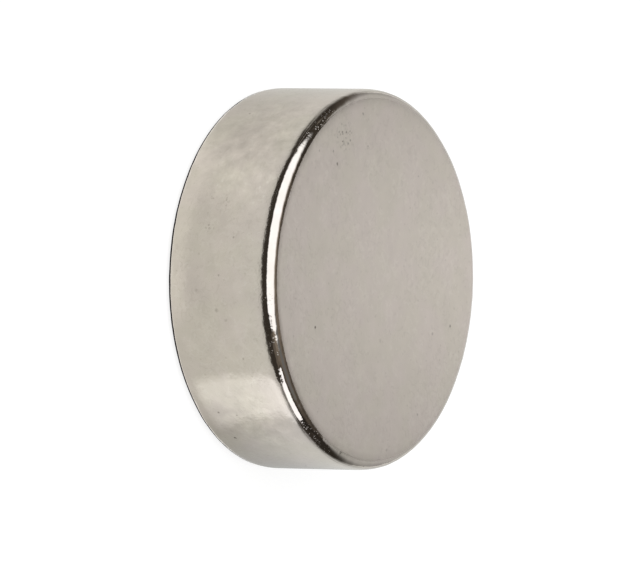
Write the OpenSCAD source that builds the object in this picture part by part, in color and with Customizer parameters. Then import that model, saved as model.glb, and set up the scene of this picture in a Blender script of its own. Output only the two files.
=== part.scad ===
// Disc magnet, lying on one pole face.
// A sintered disc is ground flat on both pole faces and ground round on the rim, then
// tumbled with abrasive chips before it is plated. Tumbling takes most off the middle of
// each edge and runs out gently into the surfaces beside it, so the section of an edge is
// three arcs, each tangent to the next: a tight one in the middle and a wide one on either
// side.
// +Z is the axis, and the origin is the middle of the lower pole face.

/* [Disc] */
// Diameter over the rim, mm
disc_d = 15; // [10:0.5:40]
// Thickness from pole face to pole face, mm
disc_t = 5; // [3:0.1:20]

/* [Tumbled edges] */
// How far an edge reaches in over the pole face, and as far again down the rim, mm
edge_reach = 0.7; // [0.6:0.05:1.2]
// Radius of the tight arc in the middle of an edge, mm
edge_r = 0.4; // [0.1:0.05:0.55]
// Radius of the wide arcs that run out into the pole face and the rim, mm
runout_r = 2.4; // [1.4:0.1:2.4]

/* [Hidden] */
$fn = 96;
disc_r = disc_d / 2;
// Angle that each wide arc turns through, which leaves the tight arc the rest of 90 degrees
runout_deg = acos((runout_r - edge_reach) / (runout_r - edge_r) / sqrt(2)) - 45;
// The tight arc stands proud of its tangents by this much, mm, so that it crosses both wide
// arcs at a clear point
tangent_slack = 0.00001;
nickel = [0.72, 0.69, 0.66];

// What tumbling leaves of the square corner where a pole face meets the rim. The origin is
// edge_reach below the pole face and edge_reach in from the rim.
module edge_section() {
    face_arc_centre = [0, edge_reach - runout_r];
    rim_arc_centre = [edge_reach - runout_r, 0];
    tight_arc_centre = face_arc_centre
        + (runout_r - edge_r) * [sin(runout_deg), cos(runout_deg)];
    difference() {
        intersection() {
            square(2 * edge_reach);
            translate(face_arc_centre)
                circle(r = runout_r);
            translate(rim_arc_centre)
                circle(r = runout_r);
        }
        // The peak where the wide arcs cross, down to the tight arc
        translate(tight_arc_centre)
            difference() {
                polygon([
                    [0, 0],
                    runout_r * [cos(runout_deg), sin(runout_deg)],
                    [runout_r, runout_r],
                    runout_r * [sin(runout_deg), cos(runout_deg)]
                ]);
                circle(r = edge_r + tangent_slack);
            }
    }
}

// Section of the disc from its axis to its rim, with the lower pole face on the X axis
module disc_section() {
    square([disc_r - edge_reach, disc_t]);
    translate([0, edge_reach])
        square([disc_r, disc_t - 2 * edge_reach]);
    translate([disc_r - edge_reach, disc_t - edge_reach])
        edge_section();
    translate([disc_r - edge_reach, edge_reach])
        mirror([0, 1])
            edge_section();
}

module magnet() {
    color(nickel)
        rotate_extrude()
            disc_section();
}

magnet();
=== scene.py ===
# %% [markdown]
# # A nickel plated disc magnet
#
# The real piece is one small sintered disc, 15 mm across and 5 mm thick. It is ground flat on both
# poles, ground round on its rim, tumbled until its two edges are soft, and then plated with nickel.
# This lesson builds it as one surface of revolution, gives it a worn nickel finish, and sets up
# the small studio that a polished metal edge needs before it looks like metal at all.
#
# Everything is in metres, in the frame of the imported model: the axis is Z, and the lower pole
# face lies on the table at height 0.

import bpy
import numpy as np
from mathutils import Matrix, Vector


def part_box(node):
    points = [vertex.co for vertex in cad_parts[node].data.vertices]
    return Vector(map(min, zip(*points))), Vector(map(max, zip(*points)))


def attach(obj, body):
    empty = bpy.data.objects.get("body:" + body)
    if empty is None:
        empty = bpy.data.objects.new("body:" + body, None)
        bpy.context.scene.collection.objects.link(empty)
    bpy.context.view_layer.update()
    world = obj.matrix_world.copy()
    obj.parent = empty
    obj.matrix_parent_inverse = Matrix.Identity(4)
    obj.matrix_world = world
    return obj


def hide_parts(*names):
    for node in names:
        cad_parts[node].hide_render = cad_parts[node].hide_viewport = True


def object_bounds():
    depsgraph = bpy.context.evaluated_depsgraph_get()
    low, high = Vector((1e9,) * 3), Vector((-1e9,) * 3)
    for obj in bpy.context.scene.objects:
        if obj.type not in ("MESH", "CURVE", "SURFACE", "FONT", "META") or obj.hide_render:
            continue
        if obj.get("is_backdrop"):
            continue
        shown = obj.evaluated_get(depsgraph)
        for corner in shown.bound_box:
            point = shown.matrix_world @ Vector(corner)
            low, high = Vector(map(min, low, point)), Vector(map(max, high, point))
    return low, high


MM = 0.001

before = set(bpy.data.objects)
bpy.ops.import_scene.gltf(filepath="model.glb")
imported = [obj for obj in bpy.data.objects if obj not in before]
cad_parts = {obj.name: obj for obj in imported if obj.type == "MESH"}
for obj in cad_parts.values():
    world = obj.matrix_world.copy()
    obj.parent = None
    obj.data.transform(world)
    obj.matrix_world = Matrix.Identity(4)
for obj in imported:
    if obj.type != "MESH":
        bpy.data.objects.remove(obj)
CAD_BOX = [list(corner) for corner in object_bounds()]
LOW, HIGH = (np.array(corner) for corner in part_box("magnet"))
print("the packed disc is", np.round((HIGH - LOW) / MM, 3), "mm")

# %% [markdown]
# ## The camera
#
# A disc seen at a slant shows an ellipse, and the ratio of its two axes is the cosine of the angle
# between the disc's axis and the line of sight. Here that angle is 57 degrees, so the camera looks
# down from 33 degrees above the table. It is also rolled by a quarter turn, so that the disc seems
# to stand on its rim, with its -X side up. A long lens from 0.6 m away keeps the outline almost
# free of perspective, as a catalogue view of such a small thing should be.

# %% Aim the camera
VIEW_ANGLE, ROLL = np.radians(57.01), np.radians(-0.92)
CAMERA_DISTANCE, LENS = 0.6, 857.1
AIM_RIGHT, AIM_UP = -0.088 * MM, -0.342 * MM

centre = (LOW + HIGH) / 2
towards_camera = np.array([0.0, -np.sin(VIEW_ANGLE), np.cos(VIEW_ANGLE)])
level_right = np.array([0.0, np.cos(VIEW_ANGLE), np.sin(VIEW_ANGLE)])
level_up = np.array([-1.0, 0.0, 0.0])
view_right = np.cos(ROLL) * level_right - np.sin(ROLL) * level_up
view_up = np.sin(ROLL) * level_right + np.cos(ROLL) * level_up
aim = centre + view_right * AIM_RIGHT + view_up * AIM_UP

camera = bpy.data.objects.new("camera", bpy.data.cameras.new("camera"))
camera.data.lens = LENS
turn = Matrix(np.column_stack([view_right, view_up, towards_camera]).tolist())
camera.matrix_world = Matrix.Translation(Vector(aim + towards_camera * CAMERA_DISTANCE)) @ turn.to_4x4()
bpy.context.scene.collection.objects.link(camera)
bpy.context.scene.camera = camera
print("camera at", np.round(np.array(camera.matrix_world.translation) / MM, 1), "mm")

# %% [markdown]
# ## The outline of the disc
#
# A tumbled edge isn't a quarter circle. The stones round the sharp corner most, and they wear the
# flats beside it a little too, so the curve is tight in the middle and runs out long and shallow on
# both sides. Three arcs that touch smoothly describe it: 2.4 mm, 0.4 mm and 2.4 mm in radius.
#
# Every point of the outline is kept as a radius, a height and a tilt. The tilt is the angle of the
# surface's normal from the axis: 0 on the upper pole face, 90 degrees on the rim, and 180 degrees
# on the lower face. The tilt is what the polish and the wear follow later on.

# %% Sizes of the edge
RADIUS = min(-LOW[0], HIGH[0], -LOW[1], HIGH[1])
THICKNESS = HIGH[2] - LOW[2]
EDGE_REACH, EDGE_RADIUS, RUNOUT_RADIUS = 0.7 * MM, 0.4 * MM, 2.4 * MM
RIGHT_ANGLE = np.pi / 2

# Both shallow arcs must lead to one tight arc: shift * (cos tilt - sin tilt) = runout - reach.
SHIFT = RUNOUT_RADIUS - EDGE_RADIUS
RUNOUT_TILT = np.arccos((RUNOUT_RADIUS - EDGE_REACH) / SHIFT / np.sqrt(2)) - RIGHT_ANGLE / 2
print("each shallow arc runs out over", round(float(np.degrees(RUNOUT_TILT)), 3), "degrees")


# %% Work out the outline
def arc(centre_radius, centre_height, radius, tilt):
    """Points of one arc: centre + radius * (sin tilt, cos tilt)."""
    return centre_radius + radius * np.sin(tilt), centre_height + radius * np.cos(tilt), tilt


def upper_edge(runout_steps, tight_steps):
    """The upper edge from the face to the rim: a shallow arc, the tight arc, a shallow arc. The
    centre of the tight arc is the first centre moved by the difference of the two radii."""
    face_side = (RADIUS - EDGE_REACH, THICKNESS - RUNOUT_RADIUS)
    rim_side = (RADIUS - RUNOUT_RADIUS, THICKNESS - EDGE_REACH)
    tight = (face_side[0] + SHIFT * np.sin(RUNOUT_TILT), face_side[1] + SHIFT * np.cos(RUNOUT_TILT))
    leaves, meets_rim = RUNOUT_TILT, RIGHT_ANGLE - RUNOUT_TILT
    parts = [
        arc(*face_side, RUNOUT_RADIUS, np.linspace(0, leaves, runout_steps + 1)[:-1]),
        arc(*tight, EDGE_RADIUS, np.linspace(leaves, meets_rim, tight_steps + 1)[:-1]),
        arc(*rim_side, RUNOUT_RADIUS, np.linspace(meets_rim, RIGHT_ANGLE, runout_steps + 1)),
    ]
    return [np.concatenate(values) for values in zip(*parts)]


def outline(face_steps, runout_steps, tight_steps, rim_steps):
    """Radius, height and tilt of every row, from the upper pole down to the lower one.
    The lower half is the upper half mirrored: height becomes thickness - height, tilt pi - tilt."""
    face_radius = (RADIUS - EDGE_REACH) * np.linspace(0, 1, face_steps + 1)[:-1]
    edge_radius, edge_height, edge_tilt = upper_edge(runout_steps, tight_steps)
    half_radius = np.concatenate([face_radius, edge_radius])
    half_height = np.concatenate([np.full(face_steps, THICKNESS), edge_height])
    half_tilt = np.concatenate([np.zeros(face_steps), edge_tilt])
    rim_height = np.linspace(half_height[-1], THICKNESS - half_height[-1], rim_steps + 1)[1:-1]
    rim_radius, rim_tilt = np.full(len(rim_height), RADIUS), np.full(len(rim_height), RIGHT_ANGLE)
    return (
        np.concatenate([half_radius, rim_radius, half_radius[::-1]]),
        np.concatenate([half_height, rim_height, THICKNESS - half_height[::-1]]),
        np.concatenate([half_tilt, rim_tilt, np.pi - half_tilt[::-1]]),
    )


row_radius, row_height, row_tilt = outline(face_steps=14, runout_steps=5, tight_steps=26, rim_steps=26)
print(len(row_radius), "rows from pole to pole")

# %% [markdown]
# ## The relief that tumbling leaves
#
# A tumbled and plated edge is never a perfect torus. It has long shallow waves, and short ones
# where stones struck it. They are a few thousandths of a millimetre deep, and two hundredths where
# they add up. That is far too small to see as shape, but a polished edge shows it at once, because
# a reflection moves by twice the angle that the surface tilts.
#
# The waves are a sum of cosines with seeded directions, so they are the same on every run and
# join up round the disc. They only ever cut inwards, so the disc never grows.

# %% Define the waves
WAVE_LENGTH, WAVE_DEPTH = 0.55 * MM, 0.0030 * MM
SWELL_LENGTH, SWELL_DEPTH = 2.5 * MM, 0.0060 * MM


def waves(points, wavelength, count, seed):
    """The mean of count cosine waves cos(k . p + phase), each of about the given wavelength,
    in directions spread over the sphere, scaled to about -1 to 1."""
    random = np.random.default_rng(seed)
    direction = random.normal(size=(count, 3))
    direction /= np.linalg.norm(direction, axis=1, keepdims=True)
    number = direction * (2 * np.pi / wavelength) * random.uniform(0.7, 1.3, (count, 1))
    phase = random.uniform(0, 2 * np.pi, count)
    return np.cos(points @ number.T + phase).sum(axis=1) / np.sqrt(2 * count)


print("waves", round(WAVE_DEPTH / MM, 4), "mm and swells", round(SWELL_DEPTH / MM, 4), "mm deep on average")

# %% [markdown]
# ## Where the edge is polished and where it is worn
#
# Tumbling polishes the tight arc of the edge and leaves the flats satin, so the polish can follow
# the tilt alone. Towards the camera's side the stones reached a little further onto the face. The
# wear follows the azimuth, the angle round the axis: where this disc has knocked against others,
# the polish is broken up over short stretches. Both are kept as one number per point of the mesh.

# %% Where on the surface a point is
def smooth_step(first, second, value):
    """0 up to the first mark, 1 past the second, and 3 t^2 - 2 t^3 between, with t the share of
    the way. It also works downwards, when the second mark is the lower one."""
    t = np.clip((value - first) / (second - first), 0, 1)
    return t * t * (3 - 2 * t)


def azimuth_of(points):
    """Degrees round the axis from the camera's side (-Y), growing towards +X."""
    return np.degrees(np.arctan2(points[:, 0], -points[:, 1]))


def fold_of(tilt):
    """How far the surface is folded away from the nearer pole face, in degrees: 0 to 90."""
    return np.degrees(np.minimum(tilt, np.pi - tilt))


print("the rows fold from", fold_of(row_tilt).min(), "to", round(fold_of(row_tilt).max(), 1), "degrees")

# %% Shares of polish and wear
POLISH_START, POLISH_LATER, POLISH_RISE = 4.4, 2.6, 4.0
LATER_FROM, LATER_FULLY = 25, 75
POLISH_FADES, POLISH_GONE = 78, 86
WORN_STRETCHES = [  # middle and half width, in degrees round the axis
    (-56, 13), (20, 7), (6, 3), (59, 11), (140, 15), (-150, 12), (100, 6),
]
WORN_CORE = 0.4
WEAR_STARTS, WEAR_FULL = 8, 20


def edge_share(points, tilt):
    """1 on the tight arc of either edge, falling to 0 over the run-outs towards the face and the
    rim. At the sides and the back the polish starts later, right where the tight arc does."""
    fold = fold_of(tilt)
    to_side = smooth_step(LATER_FROM, LATER_FULLY, np.abs(azimuth_of(points)))
    start = POLISH_START + POLISH_LATER * to_side
    rising = smooth_step(start, start + POLISH_RISE, fold)
    return rising * (1 - smooth_step(POLISH_FADES, POLISH_GONE, fold))


def wear_share(points, tilt):
    """1 in the middle of each worn stretch of the edge, 0 outside: a smooth hump in the azimuth."""
    azimuth = azimuth_of(points)
    share = np.zeros(len(points))
    for middle, half in WORN_STRETCHES:
        gap = np.abs((azimuth - middle + 180) % 360 - 180)
        share = np.maximum(share, 1 - smooth_step(WORN_CORE * half, half, gap))
    return share * smooth_step(WEAR_STARTS, WEAR_FULL, fold_of(tilt))


print(len(WORN_STRETCHES), "worn stretches, polish from", POLISH_START, "degrees of tilt")

# %% [markdown]
# ## The mesh
#
# The surface is a grid: one direction runs down the outline, the other runs round the axis. The
# first and last rows are the two poles, which are single points closed with triangles, so that
# the solid has no hole and no seam. The waves are cut along the normals, and only where the
# edge is polished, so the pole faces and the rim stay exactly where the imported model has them.

# %% Turn the outline into a grid
AROUND = 720


def revolve(radius, height, tilt, around):
    """Points and normals of the grid. At the angle a round the axis a point is
    (r sin a, -r cos a, h), and its normal is (sin tilt sin a, -sin tilt cos a, cos tilt).
    Before the turn, a point is its radius and height, and a normal its tilt's sine and cosine."""
    angle = np.linspace(0, 2 * np.pi, around, endpoint=False)
    sweep = np.stack([np.sin(angle), -np.cos(angle)], axis=-1)

    def spin(outwards, upwards):
        level = outwards[:, None, None] * sweep
        upright = np.broadcast_to(upwards[:, None, None], (len(upwards), around, 1))
        return np.concatenate([level, upright], axis=-1).reshape(-1, 3)

    return spin(radius, height), spin(np.sin(tilt), np.cos(tilt))


def grid_faces(rows, around):
    """Quads between neighbouring rows, wound so that they face outwards."""
    here = np.arange(rows - 1)[:, None] * around
    step, following = np.arange(around), np.roll(np.arange(around), -1)
    corners = [here + step, here + around + step, here + around + following, here + following]
    return np.stack(corners, axis=-1).reshape(-1, 4)


between_poles = slice(1, -1)
grid_rows = [values[between_poles] for values in (row_radius, row_height, row_tilt)]
rows = len(grid_rows[0])
points, normals = revolve(*grid_rows, AROUND)
tilts = np.repeat(row_tilt[between_poles], AROUND)
polish = edge_share(points, tilts)
depth = WAVE_DEPTH * (1 + waves(points, WAVE_LENGTH, count=24, seed=11))
depth += SWELL_DEPTH * (1 + waves(points, SWELL_LENGTH, count=12, seed=5))
cut = np.clip(depth, 0, None) * polish
points -= normals * cut[:, None]
print(rows, "rings of", AROUND, "points; the deepest cut is", round(float(cut.max()) / MM, 4), "mm")

# %% Close the poles and make the disc
quads = grid_faces(rows, AROUND)
ring = np.arange(AROUND)
following = np.roll(ring, -1)
upper_pole, lower_pole, last_row = rows * AROUND, rows * AROUND + 1, (rows - 1) * AROUND
upper_fan = np.stack([np.full(AROUND, upper_pole), ring, following], axis=-1)
lower_fan = np.stack([np.full(AROUND, lower_pole), last_row + following, last_row + ring], axis=-1)
vertices = np.concatenate([points, [[0, 0, THICKNESS], [0, 0, 0]]])

mesh = bpy.data.meshes.new("nickel_disc")
mesh.from_pydata(vertices, [], quads.tolist() + upper_fan.tolist() + lower_fan.tolist())
mesh.polygons.foreach_set("use_smooth", np.ones(len(mesh.polygons), bool))
for name, share in (("polish", polish), ("wear", wear_share(points, tilts))):
    layer = mesh.attributes.new(name, "FLOAT", "POINT")
    layer.data.foreach_set("value", np.append(share, [0, 0]).astype(np.float32))
mesh.update()
disc = bpy.data.objects.new("nickel_disc", mesh)
bpy.context.scene.collection.objects.link(disc)
print(len(quads) * 2 + len(upper_fan) * 2, "triangles")

# %% [markdown]
# ## The nickel finish
#
# Bright nickel follows whatever is under it. Over the ground faces and rim it comes out satin, and
# over the tumbled edge it comes out as a mirror. One metal with one colour makes both; only the
# roughness and the fine relief change, and the polish attribute says where. Everything is made of
# shader nodes that read object coordinates, so the pattern stays with the disc when it moves.

# %% Helpers that make nodes and materials
def set_input(tree, socket, value):
    """Links a socket into an input, or sets the input to a plain value."""
    if isinstance(value, bpy.types.NodeSocket):
        tree.links.new(value, socket)
    else:
        socket.default_value = value


def add_node(tree, kind, inputs=None, **settings):
    """A new shader node with its settings, and its inputs set to values or linked to sockets."""
    made = tree.nodes.new(kind)
    for name, value in settings.items():
        setattr(made, name, value)
    for name, value in (inputs or {}).items():
        set_input(tree, made.inputs[name], value)
    return made


def new_material(name):
    """An empty node material: the material and its tree."""
    made = bpy.data.materials.new(name)
    made.use_nodes = True
    made.node_tree.nodes.clear()
    return made, made.node_tree


def set_surface(tree, shader):
    """Links a shader to the material's surface."""
    out = add_node(tree, "ShaderNodeOutputMaterial")
    tree.links.new(shader, out.inputs["Surface"])


print("ready to make nodes and materials")

# %% Helpers for patterns and sums
MIX_SOCKETS = {"FLOAT": (2, 3, 0), "RGBA": (6, 7, 2)}


def noise(tree, vector, size, detail=2.0):
    """Noise whose blotches are about size metres across: the noise scale is 1 / size. Detail is
    the number of finer layers of noise that are added to the first."""
    inputs = {"Vector": vector, "Scale": 1 / size, "Detail": detail}
    return add_node(tree, "ShaderNodeTexNoise", inputs).outputs["Fac"]


def ramp(tree, value, from_low, from_high, to_low, to_high, smooth=True):
    """The value mapped from one range to another, held at both ends."""
    inputs = {"Value": value, "From Min": from_low, "From Max": from_high,
              "To Min": to_low, "To Max": to_high}
    kind = "SMOOTHSTEP" if smooth else "LINEAR"
    return add_node(tree, "ShaderNodeMapRange", inputs, interpolation_type=kind).outputs["Result"]


def mix(tree, factor, first, second, kind="RGBA"):
    """The first value where the factor is 0, the second where it is 1. A Mix node has a pair of
    inputs and an output for each kind of data, so they are found by their numbers."""
    made = add_node(tree, "ShaderNodeMix", data_type=kind)
    first_input, second_input, output = MIX_SOCKETS[kind]
    for index, value in ((0, factor), (first_input, first), (second_input, second)):
        set_input(tree, made.inputs[index], value)
    return made.outputs[output]


def math(tree, operation, first, second=0.0):
    """One arithmetic step on two values."""
    made = add_node(tree, "ShaderNodeMath", operation=operation)
    set_input(tree, made.inputs[0], first)
    set_input(tree, made.inputs[1], second)
    return made.outputs[0]


def move(tree, vector, operation, by):
    """One step on a vector: ADD or SUBTRACT a vector, or SCALE by a number."""
    made = add_node(tree, "ShaderNodeVectorMath", operation=operation)
    set_input(tree, made.inputs[0], vector)
    set_input(tree, made.inputs["Scale" if operation == "SCALE" else 1], by)
    return made.outputs[0]


print("a Mix node's inputs and output by kind of data:", MIX_SOCKETS)

# %% Where the finish changes
FACE_ROUGHNESS, RIM_ROUGHNESS, MIRROR_ROUGHNESS = 0.42, 0.145, 0.05
FACE_STARTS, FACE_FULLY = 0.25 * MM, 0.10 * MM
FRAY_SIZE, FRAY_DEPTH = 0.10 * MM, 0.20
MIRROR_STARTS, MIRROR_FULLY = 0.20, 0.80

nickel, tree = new_material("plated_nickel")
place = add_node(tree, "ShaderNodeTexCoord").outputs["Object"]
height = add_node(tree, "ShaderNodeSeparateXYZ", {"Vector": place}).outputs["Z"]
half_thickness = THICKNESS / 2
from_middle = math(tree, "ABSOLUTE", math(tree, "SUBTRACT", height, half_thickness))
on_face = ramp(tree, from_middle, half_thickness - FACE_STARTS, half_thickness - FACE_FULLY, 0.0, 1.0)
polished = add_node(tree, "ShaderNodeAttribute", attribute_name="polish").outputs["Fac"]
wear = add_node(tree, "ShaderNodeAttribute", attribute_name="wear").outputs["Fac"]
fray = ramp(tree, noise(tree, place, FRAY_SIZE), 0.0, 1.0, -FRAY_DEPTH, FRAY_DEPTH, smooth=False)
mirror = ramp(tree, math(tree, "ADD", polished, fray), MIRROR_STARTS, MIRROR_FULLY, 0.0, 1.0)
satin_roughness = ramp(tree, on_face, 0.0, 1.0, RIM_ROUGHNESS, FACE_ROUGHNESS)
print("roughness: face", FACE_ROUGHNESS, "rim", RIM_ROUGHNESS, "edge", MIRROR_ROUGHNESS)

# %% [markdown]
# ## Clouds in the plating
#
# Nickel is a warm white metal. The plating bath leaves it a little yellower in one place and a
# little rosier in the next, in clouds about as wide as a third of the rim is high, and a little
# darker or lighter in blotches half as wide. The differences are only a few parts in a hundred.

# %% Colour the nickel
YELLOW_NICKEL = (0.650, 0.600, 0.530, 1.0)
ROSY_NICKEL = (0.660, 0.599, 0.545, 1.0)
CLOUD_SIZE, BLOTCH_SIZE = 1.6 * MM, 0.70 * MM
CLOUD_DETAIL, YELLOW_UP_TO, ROSY_FROM = 3.0, 0.38, 0.62
RIM_BLOTCHES, FACE_BLOTCHES = 0.22, 0.12


def mottle(tree, colour, vector, size, depth):
    """The colour times 1 + depth * (noise - 0.5): blotches of the given size, darker and lighter."""
    blotches = math(tree, "SUBTRACT", noise(tree, vector, size, CLOUD_DETAIL), 0.5)
    factor = math(tree, "ADD", math(tree, "MULTIPLY", blotches, depth), 1.0)
    return move(tree, colour, "SCALE", factor)


cloud = ramp(tree, noise(tree, place, CLOUD_SIZE, CLOUD_DETAIL), YELLOW_UP_TO, ROSY_FROM, 0.0, 1.0)
colour = mix(tree, cloud, YELLOW_NICKEL, ROSY_NICKEL)
blotch_depth = ramp(tree, on_face, 0.0, 1.0, RIM_BLOTCHES, FACE_BLOTCHES)
colour = mottle(tree, colour, place, BLOTCH_SIZE, blotch_depth)
print("clouds", round(CLOUD_SIZE / MM, 1), "mm and blotches", round(BLOTCH_SIZE / MM, 1), "mm wide")

# %% [markdown]
# ## Scratches, pits and painted glints
#
# Close up, the satin surfaces are full of short curved strokes, some dark and some light, and of
# tiny pits. The light strokes are painted glints: a lighter colour where scratches would catch the
# light. A stroke is a level line of a soft noise: the noise crosses its middle value along a thin
# winding line, and a second noise lets only short lengths of that line show. A pit is a round spot
# at a random point of a Voronoi pattern. The dark strokes stay off the polished edge.

# %% Helpers for strokes and pits
CROWD_SIZE, CROWD_DEPTH, CROWD_FROM, CROWD_FULLY = 2.2 * MM, 0.10, 0.35, 0.65
PATCH_SHARE, STROKES_SHOW, STROKES_FULLY = 0.8, 0.52, 0.62
PIT_CORE = 0.3
AWAY = np.array([1.0, -0.7, 0.3])


def shifted(tree, vector, offset):
    """The same coordinates moved by offset metres times a slanting direction, for a second pattern
    that is unlike the first."""
    return move(tree, vector, "ADD", (offset * AWAY).tolist())


def strokes(tree, vector, size, width, offset):
    """Short curved strokes: the level lines of one noise, shown only where a second noise is high,
    and more of them in some places than in others, by a third and wide noise."""
    level = noise(tree, shifted(tree, vector, offset), size, detail=1.0)
    from_level = math(tree, "ABSOLUTE", math(tree, "SUBTRACT", level, 0.5))
    line = ramp(tree, from_level, width, 0.0, 0.0, 1.0)
    wide = noise(tree, shifted(tree, vector, 3 * offset), CROWD_SIZE, detail=1.0)
    crowd = ramp(tree, wide, CROWD_FROM, CROWD_FULLY, -CROWD_DEPTH, CROWD_DEPTH)
    patches = noise(tree, shifted(tree, vector, 2 * offset), PATCH_SHARE * size, detail=1.0)
    shown = ramp(tree, math(tree, "ADD", patches, crowd), STROKES_SHOW, STROKES_FULLY, 0.0, 1.0)
    return math(tree, "MULTIPLY", line, shown)


def pits(tree, vector, spacing, radius, share, offset):
    """Round pits at the random points of a Voronoi pattern, in a share of its cells. Each is 1 at
    its middle and 0 past its radius, times a chance that differs from cell to cell."""
    inputs = {"Vector": shifted(tree, vector, offset), "Scale": 1 / spacing}
    cells = add_node(tree, "ShaderNodeTexVoronoi", inputs)
    chance = add_node(tree, "ShaderNodeSeparateColor", {"Color": cells.outputs["Color"]}).outputs
    reach = radius / spacing
    spot = ramp(tree, cells.outputs["Distance"], reach, PIT_CORE * reach, 0.0, 1.0)
    picked = math(tree, "LESS_THAN", chance["Red"], share)
    return math(tree, "MULTIPLY", math(tree, "MULTIPLY", spot, picked), chance["Green"])


def stain_and_glint(tree, colour, amount, strength, other_colour):
    """The colour moved towards another colour by amount * strength: a darker one for stains,
    a lighter one for painted glints.
    """
    return mix(tree, math(tree, "MULTIPLY", amount, strength), colour, other_colour)


print("strokes crowd in patches about", round(CROWD_SIZE / MM, 1), "mm wide")

# %% Scratch and pit the satin, and paint glints on it
DIRT = (0.25, 0.22, 0.18, 1.0)
# The lighter nickel below is a painted glint, for the light strokes and the light dots on the rim.
GLINT_TONE = (0.80, 0.76, 0.69, 1.0)
DARK_STROKES, GLINT_STROKES, SMALL_PITS = 0.085, 0.17, 0.20
STROKES_GONE = 0.6

dark_strokes = strokes(tree, place, size=0.33 * MM, width=0.085, offset=5 * MM)
# The light strokes are painted glints: they lighten the colour where scratches would catch the light.
glint_strokes = strokes(tree, place, size=0.36 * MM, width=0.090, offset=11 * MM)
small_pits = pits(tree, place, spacing=0.34 * MM, radius=0.070 * MM, share=0.5, offset=3 * MM)
off_mirror = ramp(tree, mirror, 0.0, STROKES_GONE, 1.0, 0.0)
dark_strokes = math(tree, "MULTIPLY", dark_strokes, off_mirror)
colour = stain_and_glint(tree, colour, dark_strokes, DARK_STROKES, DIRT)
colour = stain_and_glint(tree, colour, glint_strokes, GLINT_STROKES, GLINT_TONE)
colour = stain_and_glint(tree, colour, small_pits, SMALL_PITS, DIRT)
print("strength of dark strokes", DARK_STROKES, "light strokes", GLINT_STROKES, "pits", SMALL_PITS)

# %% [markdown]
# ## Specks on the worn stretches
#
# Where the edge has knocked against other magnets, the mirror is broken by specks up to a tenth
# of a millimetre wide. They keep the colour of the nickel, but they are rough, so they pick up
# light from all around: pale specks in the dark reflections, and dull ones in the bright ones.

# %% Roughen the worn stretches
SPECK_ROUGHNESS = 0.36
SPECK_SPACING, SPECK_RADIUS = 0.085 * MM, 0.046 * MM
SPECK_STARTS, SPECK_FULLY = 0.05, 0.45

specks = pits(tree, place, SPECK_SPACING, SPECK_RADIUS, share=0.50, offset=17 * MM)
specks = ramp(tree, math(tree, "MULTIPLY", specks, wear), SPECK_STARTS, SPECK_FULLY, 0.0, 1.0)
mirror_roughness = ramp(tree, specks, 0.0, 1.0, MIRROR_ROUGHNESS, SPECK_ROUGHNESS)
roughness = mix(tree, mirror, satin_roughness, mirror_roughness, "FLOAT")
print("specks", round(2 * SPECK_RADIUS / MM, 2), "mm wide, roughness", SPECK_ROUGHNESS)

# %% [markdown]
# ## Single marks
#
# This disc has marks of its own: small dark dots on the upper face and on the rim, a nick at the
# end of the edge's dark line, and pocked patches. On a few patches of the rim, light dots are
# painted glints. Each is a soft ball in space with a middle, a radius and a strength, and the
# surface shows it where it passes through. The outlines are made ragged, as corrosion spots are.

# %% List the marks: sizes in millimetres, azimuths in degrees
FACE_MARKS = [  # across, along, radius, strength
    (1.9, -4.3, 0.08, 0.9), (1.8, 5.5, 0.08, 0.7), (-4.1, 3.0, 0.08, 0.25), (-4.5, -2.9, 0.08, 0.7),
    (-5.0, -3.2, 0.07, 0.4), (-6.5, -1.1, 0.08, 0.4), (2.1, 4.2, 0.09, 0.3), (2.4, 0.4, 0.12, 0.15),
    (5.3, 3.2, 0.08, 0.4), (-5.0, -4.2, 0.07, 0.3), (6.83, -2.29, 0.11, 0.8), (6.78, -2.50, 0.08, 0.5),
    (6.70, 1.00, 0.10, 0.25),
]
RIM_MARKS = [  # azimuth, height, radius, strength
    (57, 1.2, 0.08, 1.0), (45, 1.2, 0.06, 0.6), (46, 2.0, 0.06, 0.5), (10, 2.4, 0.12, 0.25),
    (13, 2.8, 0.10, 0.18), (79, 2.8, 0.07, 0.9), (-59, 1.5, 0.07, 0.4), (4, 1.5, 0.10, 0.20),
    (-12, 3.1, 0.07, 0.35), (-0.5, 2.55, 0.07, 0.35), (25, 3.3, 0.07, 0.30),
]
FACE_POCKS = [(-5.6, -2.4, 0.75, 1.0), (-5.3, -0.7, 0.25, 0.6)]
RIM_POCKS = [(-24.5, 1.8, 0.35, 0.35), (-23.0, 2.5, 0.30, 0.45), (-15.5, 1.9, 0.40, 0.40)]
# Patches of painted glints on the rim: azimuth, height, radius, strength.
RIM_GLINT_PATCHES = [
    (-27.5, 2.1, 0.6, 0.9), (-27.0, 3.8, 0.8, 1.0), (-31.0, 2.6, 0.6, 0.5),
    (45, 3.2, 0.8, 0.6), (47, 1.6, 0.7, 0.5),
]
print(len(FACE_MARKS), "marks on the face,", len(RIM_MARKS), "on the rim,", len(RIM_GLINT_PATCHES), "glinting")

# %% Helpers for marks
MARK_CORE = 0.25
FACE_TOP = float(THICKNESS / MM)


def on_face_at(across, along):
    """The point of the upper face at that x and y, in millimetres."""
    return across, along, FACE_TOP


def on_rim_at(azimuth, up):
    """The point of the rim at that azimuth and height, in millimetres: (r sin a, -r cos a, up)."""
    a = np.radians(azimuth)
    return RADIUS / MM * np.sin(a), -RADIUS / MM * np.cos(a), up


def mark(tree, vector, middle, radius, strength):
    """A soft ball: the strength within a quarter of its radius, 0 past its radius; millimetres."""
    gap = add_node(tree, "ShaderNodeVectorMath", operation="DISTANCE")
    set_input(tree, gap.inputs[0], vector)
    set_input(tree, gap.inputs[1], [float(x) * MM for x in middle])
    return ramp(tree, gap.outputs["Value"], radius * MM, MARK_CORE * radius * MM, 0.0, strength)


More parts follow.
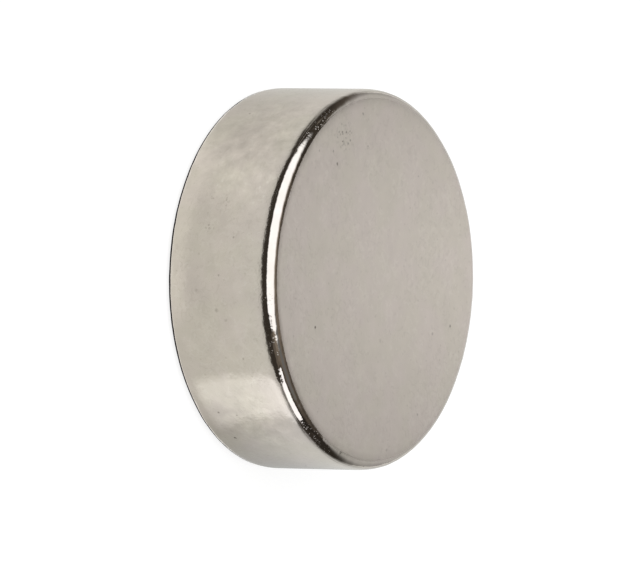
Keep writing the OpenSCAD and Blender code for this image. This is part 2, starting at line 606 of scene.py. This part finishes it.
def strongest(tree, vector, at, spots, amount=0.0):
    """The largest of all the given spots and of the amount so far."""
    for first, second, radius, strength in spots:
        amount = math(tree, "MAXIMUM", mark(tree, vector, at(first, second), radius, strength), amount)
    return amount


print("a mark on the rim at azimuth 0 is at", on_rim_at(0, 1.0), "mm")

# %% Put the marks and the painted glints on the disc
RAGGED_SIZE, RAGGED_DEPTH = 0.08 * MM, 0.10 * MM
STAIN = (0.12, 0.10, 0.08, 1.0)
GLINT_STRENGTH = 0.85

wobble = add_node(tree, "ShaderNodeTexNoise", {"Vector": place, "Scale": 1 / RAGGED_SIZE})
wobble = move(tree, wobble.outputs["Color"], "SUBTRACT", (0.5, 0.5, 0.5))
ragged_place = move(tree, place, "ADD", move(tree, wobble, "SCALE", RAGGED_DEPTH))
marks = strongest(tree, ragged_place, on_face_at, FACE_MARKS)
marks = strongest(tree, ragged_place, on_rim_at, RIM_MARKS, marks)
pocked = strongest(tree, place, on_face_at, FACE_POCKS)
pocked = strongest(tree, place, on_rim_at, RIM_POCKS, pocked)
pocks = pits(tree, ragged_place, spacing=0.13 * MM, radius=0.072 * MM, share=0.8, offset=7 * MM)
marks = math(tree, "MAXIMUM", marks, math(tree, "MULTIPLY", pocked, pocks))
# Painted glints: light dots on a few patches of the rim, in the lighter nickel of the strokes.
glinting = strongest(tree, place, on_rim_at, RIM_GLINT_PATCHES)
glint_specks = pits(tree, ragged_place, spacing=0.20 * MM, radius=0.10 * MM, share=0.5, offset=13 * MM)
colour = stain_and_glint(tree, colour, math(tree, "MULTIPLY", glinting, glint_specks), GLINT_STRENGTH, GLINT_TONE)
colour = mix(tree, marks, colour, STAIN)
print(len(tree.nodes), "nodes so far")

# %% [markdown]
# ## Two blotchy stretches of the rim
#
# In two places the rim is more uneven than elsewhere, as if it had been handled before it was
# plated. The colour is mottled there once more, with finer blotches. Their depth is a soft ball
# like a mark's, only much larger, so a stretch has no border of its own.

# %% Blotch the rim
RIM_STRETCHES = [(-44, 2.6, 4.2, 1.0), (49, 2.6, 2.6, 1.0)]  # azimuth, height, radius, strength
STRETCH_SIZE, STRETCH_DEPTH, STRETCH_OFFSET = 0.50 * MM, 0.50, 19 * MM

stretch = math(tree, "MULTIPLY", strongest(tree, place, on_rim_at, RIM_STRETCHES), STRETCH_DEPTH)
colour = mottle(tree, colour, shifted(tree, place, STRETCH_OFFSET), STRETCH_SIZE, stretch)
print("blotches", round(STRETCH_SIZE / MM, 2), "mm wide on", len(RIM_STRETCHES), "stretches")

# %% [markdown]
# ## Relief too fine for the mesh
#
# Relief of less than a hundredth of a millimetre is bump. Grain is the grit of the grinding
# wheel, peel is the slow unevenness of the plating, and chips are the bruises on the worn
# stretches. Strokes, pits and marks are dents. The heights are in millimetres, because the bump
# node multiplies them by its distance, which is one millimetre.

# %% Raise the relief and finish the nickel
GRAIN_SIZE, PEEL_SIZE, CHIP_SIZE = 0.09 * MM, 0.30 * MM, 0.08 * MM
SATIN_GRAIN, MIRROR_GRAIN = 0.0005, 0.0013
RIM_PEEL, FACE_PEEL = 0.009, 0.004
CHIP_HEIGHT, DENT_DEPTH = 0.0008, 0.0012

grain = math(tree, "MULTIPLY", noise(tree, place, GRAIN_SIZE),
             ramp(tree, mirror, 0.0, 1.0, SATIN_GRAIN, MIRROR_GRAIN, smooth=False))
peel = math(tree, "MULTIPLY", noise(tree, place, PEEL_SIZE),
            ramp(tree, on_face, 0.0, 1.0, RIM_PEEL, FACE_PEEL))
chips = math(tree, "MULTIPLY", noise(tree, place, CHIP_SIZE), wear)
dents = math(tree, "ADD", math(tree, "ADD", small_pits, dark_strokes), marks)
relief = math(tree, "ADD", grain, peel)
relief = math(tree, "ADD", relief, math(tree, "MULTIPLY", chips, CHIP_HEIGHT))
relief = math(tree, "SUBTRACT", relief, math(tree, "MULTIPLY", dents, DENT_DEPTH))
bump = add_node(tree, "ShaderNodeBump", {"Height": relief, "Strength": 1.0, "Distance": MM})
metal = add_node(tree, "ShaderNodeBsdfPrincipled", {
    "Base Color": colour, "Roughness": roughness, "Metallic": 1.0,
    "Normal": bump.outputs["Normal"]})
set_surface(tree, metal.outputs["BSDF"])
mesh.materials.append(nickel)
print(len(tree.nodes), "nodes in the nickel")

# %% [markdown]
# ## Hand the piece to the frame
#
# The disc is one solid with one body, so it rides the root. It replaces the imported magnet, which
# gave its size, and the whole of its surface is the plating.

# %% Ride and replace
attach(disc, "root")
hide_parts("magnet")

# %% [markdown]
# ## The studio
#
# A polished edge has no look of its own: everything on it is a reflection. So the studio matters
# as much as the metal. It is a plain one: white paper on the table, a white sky, one big softbox
# high on the left with a small one low on the right, and a dark room around them. The edge turns
# all of that into its white streaks between two nearly black lines.
#
# The softboxes, walls and dark cards are seen only by the metal. The light on the paper comes from
# one lamp in the place of the big softbox, and from the even fill of the sky, so the shadow stays
# soft and the paper plain. Paper and sky count as white for camera rays and for reflections alike.

# %% The sky
FILL_LIGHT = 0.45

world = bpy.data.worlds.new("studio_white")
bpy.context.scene.world = world
world.use_nodes = True
sky = world.node_tree
sky.nodes.clear()
is_diffuse = add_node(sky, "ShaderNodeLightPath").outputs["Is Diffuse Ray"]
sky_strength = ramp(sky, is_diffuse, 0.0, 1.0, 1.0, FILL_LIGHT, smooth=False)
white = add_node(sky, "ShaderNodeBackground", {"Color": (1, 1, 1, 1), "Strength": sky_strength})
sky_out = add_node(sky, "ShaderNodeOutputWorld")
sky.links.new(white.outputs[0], sky_out.inputs["Surface"])
print("the sky is 1 to the eye and", FILL_LIGHT, "as light")

# %% The table
PAPER = (0.80, 0.80, 0.79, 1)
PAPER_IN_VIEW, PAPER_GLOW = (0.30, 0.30, 0.30, 1), 0.82
TABLE_HALF = 1.5


def stage_piece(name, made, material):
    """Adds a mesh to the studio, which isn't part of the disc."""
    made.materials.append(material)
    piece = bpy.data.objects.new(name, made)
    bpy.context.scene.collection.objects.link(piece)
    piece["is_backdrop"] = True
    return piece


paper, tree = new_material("pale_paper")
rays = add_node(tree, "ShaderNodeLightPath").outputs
is_seen = math(tree, "MAXIMUM", rays["Is Camera Ray"], rays["Is Glossy Ray"])
paper_colour = mix(tree, is_seen, PAPER, PAPER_IN_VIEW)
diffuse = add_node(tree, "ShaderNodeBsdfDiffuse", {"Color": paper_colour})
glow_strength = math(tree, "MULTIPLY", is_seen, PAPER_GLOW)
glow = add_node(tree, "ShaderNodeEmission", {"Color": (1, 1, 1, 1), "Strength": glow_strength})
both = add_node(tree, "ShaderNodeAddShader")
set_input(tree, both.inputs[0], diffuse.outputs[0])
set_input(tree, both.inputs[1], glow.outputs[0])
set_surface(tree, both.outputs[0])
table = bpy.data.meshes.new("table")
corners = TABLE_HALF * np.array([(-1, -1, 0), (1, -1, 0), (1, 1, 0), (-1, 1, 0)])
table.from_pydata(corners.tolist(), [], [(0, 1, 2, 3)])
stage_piece("table", table, paper)
print("a table", 2 * TABLE_HALF, "m wide")

# %% [markdown]
# ## Cards that only metal sees
#
# A card is a mesh that glows with its own shine at every point and lets through what is behind it
# where its cover is less than 1, so a soft border is only a cover that falls to 0. Directions are
# given as azimuth and elevation, from the middle of the upper face: azimuth 0 is the camera's
# side, and it grows towards +X.

# %% The material of the cards
card_light, tree = new_material("card_light")
shine = add_node(tree, "ShaderNodeAttribute", attribute_name="shine").outputs["Color"]
cover = add_node(tree, "ShaderNodeAttribute", attribute_name="cover").outputs["Fac"]
shining = add_node(tree, "ShaderNodeEmission", {"Color": shine, "Strength": 1.0})
clear = add_node(tree, "ShaderNodeBsdfTransparent")
mixed = add_node(tree, "ShaderNodeMixShader", {"Fac": cover})
set_input(tree, mixed.inputs[1], clear.outputs[0])
set_input(tree, mixed.inputs[2], shining.outputs[0])
set_surface(tree, mixed.outputs[0])
print(len(tree.nodes), "nodes in the card material")

# %% Helpers that shape and hang a card
FACE_MIDDLE = np.array([0.0, 0.0, THICKNESS])


def heading(azimuth, elevation):
    """The direction (cos e sin a, -cos e cos a, sin e) for the azimuth a and the elevation e."""
    a, e = np.radians(azimuth), np.radians(elevation)
    parts = np.broadcast_arrays(np.cos(e) * np.sin(a), -np.cos(e) * np.cos(a), np.sin(e))
    return np.stack(parts, axis=-1)


def hang(name, grid, shine, cover=1.0, tint=(1, 1, 1)):
    """A card from a grid of points (columns, rows, 3). Its shine and its cover are numbers or
    one value for each point; its tint is one colour or one for each point."""
    columns, rows = grid.shape[:2]
    index = np.arange(columns * rows).reshape(columns, rows)
    quads = np.stack([index[:-1, :-1], index[1:, :-1], index[1:, 1:], index[:-1, 1:]], axis=-1)
    made = bpy.data.meshes.new(name)
    made.from_pydata(grid.reshape(-1, 3).tolist(), [], quads.reshape(-1, 4).tolist())
    shines = np.broadcast_to(shine, (columns, rows))[..., None]
    colours = shines * np.broadcast_to(tint, (columns, rows, 3))
    shine_layer = made.attributes.new("shine", "FLOAT_VECTOR", "POINT")
    shine_layer.data.foreach_set("vector", colours.astype(np.float32).ravel())
    covers = np.broadcast_to(cover, (columns, rows))
    cover_layer = made.attributes.new("cover", "FLOAT", "POINT")
    cover_layer.data.foreach_set("value", covers.astype(np.float32).ravel())
    piece = stage_piece(name, made, card_light)
    piece.visible_camera = piece.visible_shadow = piece.visible_diffuse = False
    print(name, "hangs with", columns * rows, "points")


def grid_between(low_u, high_u, steps_u, low_v, high_v, steps_v):
    """Two arrays, u along the first axis and v along the second, evenly spaced between limits."""
    u, v = np.linspace(low_u, high_u, steps_u), np.linspace(low_v, high_v, steps_v)
    return np.meshgrid(u, v, indexing="ij")


def window(value, low, high, border):
    """1 between low and high, falling smoothly to 0 over the border on each side."""
    half = border / 2
    opened = smooth_step(low - half, low + half, value)
    return opened * (1 - smooth_step(high - half, high + half, value))


print("the camera's side is the direction", heading(0, 0).tolist())

# %% [markdown]
# ## The softboxes and the lamp
#
# The big softbox hangs high on the left and is turned by 55 degrees. It gives the long white
# streak down the edge. Its ends and its lower side fade out, as the cloth of a real softbox does,
# and its upper side is sharp, because that side makes the crisp border of the streak. The small
# softbox gives the second, shorter streak, and a grey card above it fills the gap between them.
#
# Across the big card and up it, u and v are shares of its half size, and its cover is a product
# of smooth steps: one for each side that fades, one for a corner, and one for the sharp side.

# %% Helpers for flat cards that face the disc
def card_axes(azimuth, elevation, turned):
    """The unit vectors towards a card, across it and up it, for a card that faces the disc:
    across and up are turned in the card's own plane by the given angle."""
    a, t = np.radians(azimuth), np.radians(turned)
    facing = heading(azimuth, elevation)
    sideways = np.array([np.cos(a), np.sin(a), 0.0])
    upwards = np.cross(facing, sideways)
    across = np.cos(t) * sideways + np.sin(t) * upwards
    return facing, across, np.cos(t) * upwards - np.sin(t) * sideways


def facing_grid(placing, distance, across_by, up_by):
    """Points of a flat card: distance * (facing + across_by * across + up_by * up)."""
    facing, across, up = card_axes(*placing)
    return FACE_MIDDLE + distance * (facing + across_by[..., None] * across + up_by[..., None] * up)


def facing_card(name, placing, half_wide, half_tall, distance, shine, border=0.06, tint=(1, 1, 1)):
    """A rectangular card with a soft border; its half sizes are a share of its distance."""
    u, v = grid_between(-1, 1, 33, -1, 1, 33)
    cover = smooth_step(0, border, 1 - np.abs(u)) * smooth_step(0, border, 1 - np.abs(v))
    hang(name, facing_grid(placing, distance, u * half_wide, v * half_tall), shine, cover, tint)


print("a card straight ahead has its axes along", [axis.tolist() for axis in card_axes(0, 0, 0)])

# %% Hang the softboxes
BOX_SHINE, BOX_TINT = 1.62, (0.97, 1.0, 1.06)
LARGE_BOX, STRIP_BOX, GREY_CARD = (-37.5, 56.5, -55.0), (76.0, 22.9, -13.7), (118, 66, 0)
LARGE_DISTANCE, LARGE_HALF = 0.30, 0.93
LEFT_FADE, RIGHT_FADE, LOWER_FADE = (-1.45, -0.62), (1.35, 0.95), (-1.55, -0.85)
CORNER_FADE, CORNER_LEAN = (-2.1, -1.5), 1.4
SHARP_SIDE, SHARP_BORDER, FLARE, FLARE_MIDDLE, FLARE_RISE = 0.94, 0.10, 0.14, -0.05, (0.3, 0.6)

u, v = grid_between(LEFT_FADE[0], RIGHT_FADE[0], 57, -1.6, 1.15, 56)
sharp_side = SHARP_SIDE + FLARE * smooth_step(*FLARE_RISE, np.abs(u - FLARE_MIDDLE))
cover = smooth_step(*LEFT_FADE, u) * smooth_step(*RIGHT_FADE, u) * smooth_step(*LOWER_FADE, v)
cover *= smooth_step(*CORNER_FADE, u + CORNER_LEAN * v)
cover *= smooth_step(0, SHARP_BORDER, sharp_side - v)
grid = facing_grid(LARGE_BOX, LARGE_DISTANCE, LARGE_HALF * u, LARGE_HALF * v)
hang("large_softbox", grid, BOX_SHINE, cover, BOX_TINT)
facing_card("strip_softbox", STRIP_BOX, half_wide=0.276, half_tall=0.374, distance=0.25,
            shine=BOX_SHINE, tint=BOX_TINT)
facing_card("grey_card", GREY_CARD, half_wide=0.30, half_tall=0.22, distance=0.35,
            shine=0.18, border=0.3)

# %% Light the table
LAMP_DISTANCE, LAMP_HALF, LAMP_RADIANCE = 1.2, 0.88, 1.1

facing, across, up = card_axes(*LARGE_BOX)
made = bpy.data.lights.new("key_lamp", "AREA")
made.shape, made.size = "SQUARE", 2 * LAMP_HALF * LAMP_DISTANCE
made.energy = np.pi * LAMP_RADIANCE * made.size ** 2
lamp = bpy.data.objects.new("key_lamp", made)
turn = Matrix(np.column_stack([across, up, facing]).tolist())
lamp.matrix_world = Matrix.Translation(Vector(FACE_MIDDLE + facing * LAMP_DISTANCE)) @ turn.to_4x4()
lamp.visible_glossy = lamp.visible_camera = False
bpy.context.scene.collection.objects.link(lamp)
print("a lamp of", round(made.energy, 1), "W,", round(made.size, 2), "m wide")

# %% [markdown]
# ## The walls
#
# The walls of the room are a dome 0.7 m away. High up they are dark, a little less so on the left
# than on the right: they make the dark lines beside the white streaks. Low down behind the disc
# they are pale, and this is what the satin face and the far half of the edge reflect. The border
# between the two is at about 42 degrees straight behind, and lower towards the sides.
#
# Each level below starts at a value and then changes by steps. A step is an amount and the two
# marks between which it comes in: here they are degrees of elevation, or of azimuth.

# %% Level the walls
# The brown below tints the light that the dark walls and the hoop give off, which the edge reflects in its
# dark lines.
WALL_DISTANCE, DARK_GLOW_TINT = 0.70, np.array([1.0, 0.86, 0.72])
LEFT_DARK, LEFT_STEPS = 0.048, [(0.32, 51, 67)]
RIGHT_DARK, RIGHT_STEPS = 0.028, [(0.075, 43, 50), (0.075, 50, 58), (0.05, 58, 68)]
GLEAM, GLEAM_FROM, GLEAM_TO, GLEAM_BORDER, GLEAM_RISE = 0.12, 34, 60, 14, (8, 26)
BACK_GLEAM, BACK_GLEAM_SIDES, BACK_GLEAM_RISE = 0.06, (160, 178), (44, 52)
FRONT_SEAM, BACK_SEAM, DEEP_SIDES, PALE_SIDES = (-20, 20), (165, 180), (150, 162), (104, 120)
LOW_RISE, HIGH_RISE, BACK_PALE_SIDES, SKIRTING = (10, 24), (28, 39), (164, 174), (7, 12)
PALE, DEEP_GAIN, RIGHT_LOSS, LOW_LOSS, HIGH_LOSS, BACK_PALE = 0.59, 0.03, 0.08, 0.17, 0.20, 0.66
BORDER, BORDER_STEPS, BORDER_SOFTNESS = 32, [(11.5, 125, 152), (-1.0, 164, 176)], 1.6


def level(value, start, steps):
    """The start, plus the amount of each step once the value has passed from the step's first
    mark to its second: start + the sum of amount * smooth_step(first, second, value)."""
    return start + sum(amount * smooth_step(first, second, value) for amount, first, second in steps)


print("dark on the left", LEFT_DARK, "and on the right", RIGHT_DARK, "and pale behind", BACK_PALE)

# %% Hang the walls
azimuths, elevations = grid_between(-180, 180, 181, 0, 90, 91)
behind = np.abs(azimuths)
at_back, deep = smooth_step(*BACK_SEAM, behind), smooth_step(*DEEP_SIDES, behind)

# From left to right in front, and half of each in the middle of the back.
to_right = smooth_step(*FRONT_SEAM, azimuths) * (1 - at_back / 2) + (azimuths < 0) * at_back / 2

# The dark part gets lighter towards the ceiling, and gleams a little on the right and behind.
left_dark = level(elevations, LEFT_DARK, LEFT_STEPS)
right_dark = level(elevations, RIGHT_DARK, RIGHT_STEPS)
gleam = window(azimuths, GLEAM_FROM, GLEAM_TO, GLEAM_BORDER) * smooth_step(*GLEAM_RISE, elevations)
right_dark += GLEAM * gleam
wall_shine = left_dark + (right_dark - left_dark) * to_right
back_gleam = smooth_step(*BACK_GLEAM_SIDES, behind) * smooth_step(*BACK_GLEAM_RISE, elevations)
wall_shine += BACK_GLEAM * back_gleam

# The pale part is a little darker on the right, near the table and near its upper border. It takes
# the wall behind the disc up to that border, and a skirting all round.
pale = PALE + DEEP_GAIN * deep - (RIGHT_LOSS - DEEP_GAIN * deep) * to_right
pale *= 1 - LOW_LOSS * (1 - deep) * (1 - smooth_step(*LOW_RISE, elevations))
pale *= 1 - HIGH_LOSS * smooth_step(*HIGH_RISE, elevations)
pale += (BACK_PALE - pale) * smooth_step(*BACK_PALE_SIDES, behind)
border = level(behind, BORDER, BORDER_STEPS)
above = smooth_step(border - BORDER_SOFTNESS, border + BORDER_SOFTNESS, elevations)
lit = smooth_step(*PALE_SIDES, behind) * (1 - above)
lit = np.maximum(lit, 1 - smooth_step(*SKIRTING, elevations))
wall_shine += (pale - wall_shine) * lit
wall_tint = DARK_GLOW_TINT + (1 - DARK_GLOW_TINT) * lit[..., None]
grid = FACE_MIDDLE + heading(azimuths, elevations) * WALL_DISTANCE
hang("studio_walls", grid, wall_shine, tint=wall_tint)

# %% [markdown]
# ## Dark things close to the disc
#
# Two dark things are so close that they move across the reflections from one point of the edge to
# the next. One is a low black hoop around the front of the disc, like the rim of a shallow dish
# that holds it: the dark line on the outer side of the edge. It is taller at both ends, which
# closes the dark wedges there. The other is the disc's own shadow underneath it, as a dark pad.
#
# The hoop's lower and upper side, its soft lower border and its shine are levels again, with steps
# in degrees of azimuth. Radii and heights are in millimetres.

# %% Hang the hoop and the pad
HOOP_RADIUS, HOOP_END, HOOP_TOP_FADE = 9.5, 108, (0.7, 1)
HOOP_LOW, LOW_STEPS = 3.68, [(-0.32, -38, -56), (-0.40, -66, -80), (0.55, 32, 40), (-0.90, 54, 64)]
HOOP_HIGH = 5.45
HIGH_STEPS = [(0.45, 9, 14), (-1.15, 33, 41), (1.8, 54, 70), (5.2, -62, -90), (4.1, 62, 90)]
HOOP_FADE, FADE_STEPS = 0.15, [(0.75, -38, -50), (1.15, -50, -82), (1.3, 54, 66)]
HOOP_SHINE, SHINE_STEPS = 0.046, [(0.050, -76, -92), (-0.012, 60, 80)]
SOLID_STEPS = [(-1, -88, -HOOP_END), (-1, 85, 105)]
THIN_SHARE, THIN_FROM, THIN_TO, THIN_BORDER = 0.3, 40, 56, 6
PAD_HOLE, PAD_RADIUS, PAD_HEIGHT, PAD_SHINE = 0.1, 7.47, 0.002 * MM, 0.03


def ring_grid(azimuths, radii, height):
    """Points on a level ring or disc: the radius, in millimetres, in the azimuth's direction."""
    grid = heading(azimuths, 0) * (radii * MM)[..., None]
    grid[..., 2] = height
    return grid


azimuths, share = grid_between(-HOOP_END, HOOP_END, 217, 0, 1, 25)
low, high = level(azimuths, HOOP_LOW, LOW_STEPS), level(azimuths, HOOP_HIGH, HIGH_STEPS)
above_low = (high - low) * share
solid = level(azimuths, 1, SOLID_STEPS) * (1 - smooth_step(*HOOP_TOP_FADE, share))
solid *= smooth_step(0, level(azimuths, HOOP_FADE, FADE_STEPS), above_low)
solid *= 1 - THIN_SHARE * window(azimuths, THIN_FROM, THIN_TO, THIN_BORDER)
hoop = ring_grid(azimuths, np.full_like(azimuths, HOOP_RADIUS), (low + above_low) * MM)
hang("dark_hoop", hoop, level(azimuths, HOOP_SHINE, SHINE_STEPS), solid, tint=DARK_GLOW_TINT)

azimuths, radii = grid_between(0, 360, 181, PAD_HOLE, PAD_RADIUS, 5)
hang("dark_pad", ring_grid(azimuths, radii, PAD_HEIGHT), PAD_SHINE)

# %% [markdown]
# ## The backdrop behind the face
#
# The satin face is brightest in its middle and on its far side, and falls off towards its
# two ends. A small white card that stands 27 mm behind the axis does this, because points at the
# ends of the face see it at a slant, past its faded borders.

# %% Stand the backdrop card
BACKDROP_DISTANCE, BACKDROP_HALF, BACKDROP_TOP = 27 * MM, 9.5 * MM, 42 * MM
BACKDROP_SHIFT, BACKDROP_SHINE, BACKDROP_FALL = -0.8 * MM, 1.00, 0.18
FULL_FROM, SIDE_FADE, TOP_FADE = (6 * MM, 20 * MM), 0.74, 0.18

u, heights = grid_between(-1, 1, 25, 0, BACKDROP_TOP, 25)
across = u * BACKDROP_HALF + BACKDROP_SHIFT
grid = np.stack([across, np.full_like(u, BACKDROP_DISTANCE), heights], axis=-1)
backdrop_shine = BACKDROP_SHINE - BACKDROP_FALL * (1 - smooth_step(*FULL_FROM, heights))
faded = smooth_step(0, SIDE_FADE, 1 - np.abs(u)) * smooth_step(0, TOP_FADE, 1 - heights / BACKDROP_TOP)
hang("backdrop_card", grid, backdrop_shine, faded)

# %% [markdown]
# ## The table as the rim sees it
#
# The rim reflects the paper just in front of it, and the softboxes light that paper unevenly. So
# a ring on the table stands in for it: close to the disc it dims on the right, and on the lower
# right of the view it carries the bright patch of light that the small softbox throws, which
# the rim shows as its pale window. The light leans, so the patch turns as it goes outwards.
# Further out the ring goes on plainly, and then fades into the paper.
#
# Radii are in millimetres and azimuths in degrees. The patch and the band are windows, with a
# lower end, an upper end and a border. The spot is a bell: exp(-x^2 - y^2). A pair of marks is
# where a smooth step begins and ends.

# %% Levels of the ring of light
RING_HEIGHT, RING_INNER, RING_FINE_TO, RING_FADE = 0.01 * MM, 7.55, 22, (70, 110)
BASE_GLOW, NEAR_LEVEL, FAR_LOSS = 0.70, 1.04, 0.06
BAND_GLOW, BAND = 0.08, (11.5, 16, 3)
FOOT_GLOW, FOOT = 0.20, (-48, 14, 20)
SPOT_GLOW, SPOT_AZIMUTH, SPOT_WIDTH, SPOT_RADIUS, SPOT_DEPTH = 0.17, -43, 11, 11.5, 3
PATCH_GLOW, PATCH_STREAK, PATCH = 0.46, 0.26, (8.35, 20.5, 1.0)
PATCH_MIDDLE, PATCH_LEAN, PATCH_LEFT, PATCH_RIGHT, PATCH_BORDER = 50, 1.5, 12, 10, 6
CLOSE_RIGHT_LOSS, CLOSE_LEFT_LOSS, LEFT_LOSS, AWAY_LOSS = 0.33, 0.08, 0.01, 0.06
AWAY_FROM, RIGHT_FROM, LEFT_FROM, COOL_RIGHT_FROM = (115, 165), (38, 60), (-45, -68), (58, 80)
CLOSE_UNTIL, FAR_FROM, FOOT_UNTIL, STREAK_FROM = (7.5, 11.5), (15, 18), (8.3, 9.4), (12, 14.5)
LEAN_FROM, COOL_OUTSIDE_FROM = 8.5, (11, 15)
COOLNESS, COOL_RIGHT, COOL_OUTSIDE, COOL_PATCH = -0.045, 0.05, 0.03, 0.035
RED_BY_COOL, GREEN, BLUE_BY_COOL = -0.3, 1.012, 0.7
print("the patch glows", PATCH_GLOW, "over a table of", BASE_GLOW)

# %% Lay the ring of light on the table
fine_radii, wide_radii = np.linspace(RING_INNER, RING_FINE_TO, 59), np.linspace(26, RING_FADE[1], 22)
ring_radii = np.append(fine_radii, wide_radii)
azimuths, radii = np.meshgrid(np.linspace(-180, 180, 361), ring_radii, indexing="ij")
away = smooth_step(*AWAY_FROM, np.abs(azimuths))
on_right = smooth_step(*RIGHT_FROM, azimuths) * (1 - away)
on_left = smooth_step(*LEFT_FROM, azimuths) * (1 - away)
close = 1 - smooth_step(*CLOSE_UNTIL, radii)
lean = PATCH_MIDDLE + PATCH_LEAN * (radii - LEAN_FROM)
patch = window(azimuths, lean - PATCH_LEFT, lean + PATCH_RIGHT, PATCH_BORDER) * window(radii, *PATCH)

glow = NEAR_LEVEL + BAND_GLOW * window(radii, *BAND) - FAR_LOSS * smooth_step(*FAR_FROM, radii)
glow += FOOT_GLOW * (1 - smooth_step(*FOOT_UNTIL, radii)) * window(azimuths, *FOOT)
x, y = (azimuths - SPOT_AZIMUTH) / SPOT_WIDTH, (radii - SPOT_RADIUS) / SPOT_DEPTH
glow += SPOT_GLOW * np.exp(-x ** 2 - y ** 2)
glow += patch * (PATCH_GLOW + PATCH_STREAK * smooth_step(*STREAK_FROM, radii))
glow *= (1 - CLOSE_RIGHT_LOSS * on_right * close) * (1 - CLOSE_LEFT_LOSS * on_left * close)
glow *= (1 - LEFT_LOSS * on_left) * (1 - AWAY_LOSS * away)

cool = COOLNESS + COOL_RIGHT * smooth_step(*COOL_RIGHT_FROM, azimuths) * (1 - away)
cool += COOL_OUTSIDE * smooth_step(*COOL_OUTSIDE_FROM, radii) + COOL_PATCH * patch
glow_tint = [1 + RED_BY_COOL * cool, np.full_like(cool, GREEN), 1 + BLUE_BY_COOL * cool]
ring_of_light, faded = ring_grid(azimuths, radii, RING_HEIGHT), 1 - smooth_step(*RING_FADE, radii)
hang("table_glow", ring_of_light, BASE_GLOW * glow, faded, np.stack(glow_tint, axis=-1))

# %% [markdown]
# ## Finish
#
# The view transform is Standard, so a value of 1 is plain white. The sizes of the imported model and
# of the visual model are worked out side by side: the cuts only go inwards, so the second must
# lie inside the first.

# %% Work out the sizes and finish
bpy.context.scene.view_settings.view_transform = "Standard"
size = {"cad": CAD_BOX, "visual": [list(corner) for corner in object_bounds()]}
extent = np.array(size["visual"][1]) - np.array(size["visual"][0])
print("the visual model is", np.round(extent / MM, 4), "mm")
